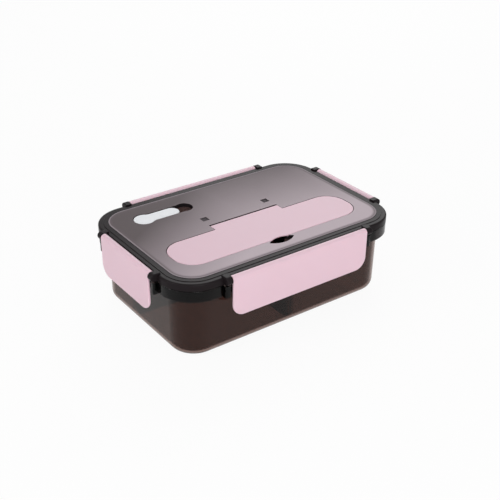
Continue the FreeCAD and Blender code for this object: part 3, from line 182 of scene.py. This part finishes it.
# %% [markdown]
# ## Lid plastic: the frosted top, with painted light
# Frosting is never quite even. A painted reflection of the softboxes makes its grey-brown paler towards
# the front and the right, broken up by soft clouds a few centimetres wide. Near the outline a darker band
# is painted shade where the ring and seal lie below, and a fine paler line at the edge is a painted
# highlight.

# %% Painted reflection, painted edge shade and painted edge highlight of the platform
CLOUD_WIDTH = 60
CLOUD_SHARE = 0.03
FRONT_LEAN = -1.6
REFLECTION_FAINT, REFLECTION_FULL = -0.105, 0.065
EDGE_SHADE_START, EDGE_SHADE_END = 0.0042, 0.0005
HIGHLIGHT_START, HIGHLIGHT_FULL = 0.0014, 0.0009
cloud = add(tree, "ShaderNodeTexNoise", Vector=place.outputs["Object"], Scale=MM / CLOUD_WIDTH, Detail=2.0)
# Painted reflection: the frosting's own grey-brown turns paler towards the front and the right, with
# clouds in it.
left = add(tree, "ShaderNodeMath", {"operation": "MINIMUM"}, _0=split.outputs["X"], _1=0.0)
across = add(tree, "ShaderNodeMath", {"operation": "MULTIPLY_ADD"},
             _0=split.outputs["Y"], _1=FRONT_LEAN, _2=left.outputs["Value"])
drift = add(tree, "ShaderNodeMath", {"operation": "MULTIPLY_ADD"},
            _0=cloud.outputs["Fac"], _1=CLOUD_SHARE, _2=across.outputs["Value"])
painted_reflection = add(tree, "ShaderNodeMapRange", Value=drift.outputs["Value"],
           From_Min=REFLECTION_FAINT, From_Max=REFLECTION_FULL)
tint = add(tree, "ShaderNodeMix", {"data_type": "RGBA"}, Factor=painted_reflection.outputs["Result"],
           A=linear("#605759"), B=linear("#C4B6BD"))
# Painted shade: a darker band near the outline, where the ring and seal lie below the plastic.
painted_edge_shade = add(tree, "ShaderNodeMapRange", {"interpolation_type": "SMOOTHSTEP"}, Value=reach.outputs["Value"],
           From_Min=PLATFORM_CORNER - EDGE_SHADE_START, From_Max=PLATFORM_CORNER - EDGE_SHADE_END)
with_edge_shade = add(tree, "ShaderNodeMix", {"data_type": "RGBA"}, Factor=painted_edge_shade.outputs["Result"],
             A=tint.outputs["Result"], B=linear("#6A5F64"))
# Painted highlight: a fine paler line all round the very edge of the platform.
painted_edge_highlight = add(tree, "ShaderNodeMapRange", Value=reach.outputs["Value"],
           From_Min=PLATFORM_CORNER - HIGHLIGHT_START, From_Max=PLATFORM_CORNER - HIGHLIGHT_FULL)
frosted = add(tree, "ShaderNodeMix", {"data_type": "RGBA"}, Factor=painted_edge_highlight.outputs["Result"],
              A=with_edge_shade.outputs["Result"], B=linear("#948A8F"))
print("haze clouds", CLOUD_WIDTH, "mm wide")

# %% [markdown]
# ## Lid plastic: rim, pocket and wells
# Below the platform the plastic is polished. The pocket under the cover and the vent recess have thin
# walls that let light through, so they look browner than the thick rim. The two small square wells have
# a rough floor, and their darker grey is painted shade in the recess.

# %% Colours of the rim, the pocket and the wells
WELL_PLACE = {"X": 0.030, "Y": 0.0122, "Z": PLATFORM_TOP - 0.0009}
WELL_ROOM = {"X": 0.0034, "Y": 0.0034, "Z": 0.0005}
POCKET_START, POCKET_FULL = 0.003, 0.005
depth = add(tree, "ShaderNodeMapRange", Value=split.outputs["Z"],
            From_Min=PLATFORM_TOP - POCKET_START, From_Max=PLATFORM_TOP - POCKET_FULL)
deep = add(tree, "ShaderNodeMath", {"operation": "MULTIPLY"},
           _0=depth.outputs["Result"], _1=inside.outputs["Value"])
polished = add(tree, "ShaderNodeMix", {"data_type": "RGBA"}, Factor=deep.outputs["Value"],
               A=linear("#1F1A1C"), B=linear("#8A6E6A"))
near = []
for axis, middle in WELL_PLACE.items():
    span = add(tree, "ShaderNodeMath", {"operation": "ABSOLUTE"}, _0=split.outputs[axis])
    near.append(add(tree, "ShaderNodeMath", {"operation": "COMPARE"},
                    _0=span.outputs["Value"], _1=middle, _2=WELL_ROOM[axis]))
column = add(tree, "ShaderNodeMath", {"operation": "MULTIPLY"},
             _0=near[0].outputs["Value"], _1=near[1].outputs["Value"])
shaded_well = add(tree, "ShaderNodeMath", {"operation": "MULTIPLY"},
           _0=column.outputs["Value"], _1=near[2].outputs["Value"])
# Painted shade: the square wells get a darker grey, as shade in a recess; their rough floor is real.
below = add(tree, "ShaderNodeMix", {"data_type": "RGBA"}, Factor=shaded_well.outputs["Value"],
            A=polished.outputs["Result"], B=linear("#5F595C"))
colour = add(tree, "ShaderNodeMix", {"data_type": "RGBA"}, Factor=mask.outputs["Value"],
             A=below.outputs["Result"], B=frosted.outputs["Result"])
tree.links.new(colour.outputs["Result"], shader.inputs["Base Color"])
print("wells at", [round(v * MM, 1) for v in WELL_PLACE.values()], "mm")

# %% [markdown]
# ## Lid plastic: tooth, gloss and clearness
# Frosting is a fine tooth that the mould leaves on the plastic, some hundredths of a millimetre wide. It
# is too fine to model and is drawn far coarser than it is, so that it shows. The same mask keeps it to
# the top. Only the thin walls of the pocket and of the vent recess let much light through.

# %% Tooth of the frosting, gloss and clearness
TOOTH_WIDTH = 0.7
RIM_ROUGHNESS = 0.3
TOOTH_ROUGHNESS = 0.28
tooth = add(tree, "ShaderNodeTexNoise", Vector=place.outputs["Object"], Scale=MM / TOOTH_WIDTH, Detail=2.0)
etched = add(tree, "ShaderNodeMath", {"operation": "MULTIPLY"},
             _0=tooth.outputs["Fac"], _1=mask.outputs["Value"])
relief = add(tree, "ShaderNodeBump", Height=etched.outputs["Value"], Strength=0.1, Distance=0.0002)
tree.links.new(relief.outputs["Normal"], shader.inputs["Normal"])
rough = add(tree, "ShaderNodeMath", {"operation": "MULTIPLY_ADD"},
            _0=etched.outputs["Value"], _1=TOOTH_ROUGHNESS, _2=RIM_ROUGHNESS)
dull = add(tree, "ShaderNodeMath", {"operation": "MAXIMUM"},
           _0=rough.outputs["Value"], _1=shaded_well.outputs["Value"])
tree.links.new(dull.outputs["Value"], shader.inputs["Roughness"])
clear = add(tree, "ShaderNodeMapRange", Value=deep.outputs["Value"], To_Min=0.03, To_Max=0.6)
tree.links.new(clear.outputs["Result"], shader.inputs["Transmission Weight"])
shader.inputs["IOR"].default_value = 1.5
shader.inputs["Specular IOR Level"].default_value = 0.05
print("frosting tooth", TOOTH_WIDTH, "mm wide")

# %% [markdown]
# ## Pink polypropylene
# The latches and the cutlery cover are polypropylene, coloured right through and moulded in a finely
# spark-eroded tool. That leaves a soft, broad sheen and a grain of about a third of a millimetre, drawn
# here a little coarser so that it shows. Such a grain is far too fine to model, so one noise drives both
# the bump and the roughness. A little light also goes under the skin of such plastic.

# %% Pink polypropylene, a shade darker for the cover
GRAIN_WIDTH = 0.5
SHADE_WIDTH = 70
DARKER, PALER = 0.97, 1.03


def pink_plastic(name, hex_colour):
    """Satin moulded polypropylene."""
    material, tree, shader = new_material(name)
    place = add(tree, "ShaderNodeTexCoord")
    drift = add(tree, "ShaderNodeTexNoise", Vector=place.outputs["Object"],
                Scale=MM / SHADE_WIDTH, Detail=2.0)
    base = linear(hex_colour)
    shade = add(tree, "ShaderNodeMix", {"data_type": "RGBA"}, Factor=drift.outputs["Fac"],
                A=[c * DARKER for c in base[:3]] + [1.0],
                B=[min(c * PALER, 1.0) for c in base[:3]] + [1.0])
    tree.links.new(shade.outputs["Result"], shader.inputs["Base Color"])
    grain = add(tree, "ShaderNodeTexNoise", Vector=place.outputs["Object"],
                Scale=MM / GRAIN_WIDTH, Detail=2.0)
    sheen = add(tree, "ShaderNodeMapRange", Value=grain.outputs["Fac"], To_Min=0.42, To_Max=0.54)
    tree.links.new(sheen.outputs["Result"], shader.inputs["Roughness"])
    bump = add(tree, "ShaderNodeBump", Height=grain.outputs["Fac"], Strength=0.12, Distance=0.0002)
    tree.links.new(bump.outputs["Normal"], shader.inputs["Normal"])
    shader.inputs["IOR"].default_value = 1.49
    shader.inputs["Subsurface Weight"].default_value = 0.15
    shader.inputs["Subsurface Radius"].default_value = (0.0015, 0.001, 0.001)
    print(name)
    return material


latch_pink = pink_plastic("pink_polypropylene_latch", "#E6C6D2")
cover_pink = pink_plastic("pink_polypropylene_cover", "#DDBBC8")

# %% [markdown]
# ## Silicone
# The vent plug is pale, soft moulded silicone that lets some light in, and the seal is the dark kind.
# Both are matte with a very fine tooth, drawn here coarser than it is, and cloud a little over a
# centimetre or so. A matte shader mixed with a translucent one would do for the plug, but light under
# the skin gives the same softness in one shader.

# %% Silicone for the vent plug and the seal
SKIN_WIDTH = 0.6
CLOUDING_WIDTH = 12
CLOUDED = 0.96


def silicone(name, hex_colour, under_skin):
    """Matte moulded silicone."""
    material, tree, shader = new_material(name)
    place = add(tree, "ShaderNodeTexCoord")
    skin = add(tree, "ShaderNodeTexNoise", Vector=place.outputs["Object"],
               Scale=MM / SKIN_WIDTH, Detail=1.0)
    rough = add(tree, "ShaderNodeMapRange", Value=skin.outputs["Fac"], To_Min=0.46, To_Max=0.58)
    tree.links.new(rough.outputs["Result"], shader.inputs["Roughness"])
    bump = add(tree, "ShaderNodeBump", Height=skin.outputs["Fac"], Strength=0.08, Distance=0.0002)
    tree.links.new(bump.outputs["Normal"], shader.inputs["Normal"])
    drift = add(tree, "ShaderNodeTexNoise", Vector=place.outputs["Object"],
                Scale=MM / CLOUDING_WIDTH, Detail=1.0)
    base = linear(hex_colour)
    shade = add(tree, "ShaderNodeMix", {"data_type": "RGBA"}, Factor=drift.outputs["Fac"],
                A=[c * CLOUDED for c in base[:3]] + [1.0], B=base)
    tree.links.new(shade.outputs["Result"], shader.inputs["Base Color"])
    shader.inputs["IOR"].default_value = 1.41
    shader.inputs["Subsurface Weight"].default_value = under_skin
    shader.inputs["Subsurface Radius"].default_value = (0.002, 0.002, 0.002)
    print(name)
    return material


plug_silicone = silicone("pale_silicone_plug", "#F0F2F6", 0.3)
seal_silicone = silicone("dark_silicone_seal", "#2B292B", 0.0)

# %% [markdown]
# ## Dress the CAD nodes
# New meshes could stand in for the CAD pieces, but their shapes are right as they are, so each node keeps
# its mesh and only gets its finish.

# %% Put the finishes on the nodes
FINISHES = {
    "container": smoke, "divider": deep_smoke, "fork": deep_smoke, "spoon": deep_smoke,
    "lid": lid_plastic, "lid_seal": seal_silicone, "vent_plug": plug_silicone,
    "front_latch": latch_pink, "right_latch": latch_pink,
    "back_latch": latch_pink, "left_latch": latch_pink, "cutlery_cover": cover_pink,
}
for name, finish in FINISHES.items():
    for material_slot in nodes[name].material_slots:
        material_slot.material = finish
print("finished", len(FINISHES), "nodes")

# %% [markdown]
# ## Floor and world
# The photo is a cut-out on white. The floor and the world show white to the camera, also in mirror
# reflections and through clear plastic, and light the object at a plain level. A curved paper sweep
# would do this in a studio, but a flat floor is simpler and keeps a faint shadow under the box.

# %% Floor


def seen_directly(tree, path):
    """1 for what the camera sees itself, in a mirror or through clear plastic."""
    straight = add(tree, "ShaderNodeMath", {"operation": "MAXIMUM"},
                   _0=path.outputs["Is Camera Ray"], _1=path.outputs["Is Glossy Ray"])
    return add(tree, "ShaderNodeMath", {"operation": "MAXIMUM"},
               _0=straight.outputs["Value"], _1=path.outputs["Is Transmission Ray"])


HALF = 4.0
FLOOR_DROP = 0.0002
WHITE_SHARE = 0.93
floor_mesh = bpy.data.meshes.new("floor")
corners = [(-HALF, -HALF, 0), (HALF, -HALF, 0), (HALF, HALF, 0), (-HALF, HALF, 0)]
floor_mesh.from_pydata(corners, [], [(0, 1, 2, 3)])
floor = bpy.data.objects.new("floor", floor_mesh)
floor.location.z = -FLOOR_DROP
scene.collection.objects.link(floor)
paper = bpy.data.materials.new("white_paper_floor")
paper.use_nodes = True
tree = paper.node_tree
tree.nodes.clear()
output = tree.nodes.new("ShaderNodeOutputMaterial")
matte = add(tree, "ShaderNodeBsdfDiffuse", Color=linear("#F4F4F4"))
path = add(tree, "ShaderNodeLightPath")
white = add(tree, "ShaderNodeEmission", Color=(1, 1, 1, 1), Strength=1.0)
seen = seen_directly(tree, path)
share = add(tree, "ShaderNodeMath", {"operation": "MULTIPLY"},
            _0=seen.outputs["Value"], _1=WHITE_SHARE)
blend = add(tree, "ShaderNodeMixShader", _0=share.outputs["Value"])
tree.links.new(matte.outputs["BSDF"], blend.inputs[1])
tree.links.new(white.outputs["Emission"], blend.inputs[2])
tree.links.new(blend.outputs["Shader"], output.inputs["Surface"])
floor_mesh.materials.append(paper)
print("floor", 2 * HALF, "m wide")

# %% World
AMBIENT = 0.34
world = bpy.data.worlds.new("studio")
scene.world = world
world.use_nodes = True
tree = world.node_tree
tree.nodes.clear()
output = tree.nodes.new("ShaderNodeOutputWorld")
path = add(tree, "ShaderNodeLightPath")
level = add(tree, "ShaderNodeMapRange", Value=seen_directly(tree, path).outputs["Value"],
            To_Min=AMBIENT, To_Max=1.0)
sky = add(tree, "ShaderNodeBackground", Color=(1, 1, 1, 1), Strength=level.outputs["Result"])
tree.links.new(sky.outputs["Background"], output.inputs["Surface"])
print("world lights at", AMBIENT)

# %% [markdown]
# ## Softboxes
# Three large square lights give soft, broad highlights: the key from the front, one from behind on the
# right for the far edges of the lid, and one from the left for the short side. A brighter world could
# stand in for them, but it would light every side alike.

# %% Softboxes


def softbox(name, place, aim, size, watts):
    """A square area light that faces a point."""
    data = bpy.data.lights.new(name, "AREA")
    data.shape = "SQUARE"
    data.size = size
    data.energy = watts
    light = bpy.data.objects.new(name, data)
    light.location = place
    light.rotation_euler = (Vector(aim) - Vector(place)).to_track_quat("-Z", "Y").to_euler()
    scene.collection.objects.link(light)


softbox("key_softbox", (-0.35, -1.25, 0.55), (0, 0, 0.03), 0.8, 10)
softbox("back_softbox", (0.8, 0.85, 0.95), (0, 0, 0.06), 0.8, 7)
softbox("left_softbox", (-1.2, 0.1, 0.6), (0, 0, 0.03), 0.7, 5)
scene.view_settings.view_transform = "Standard"
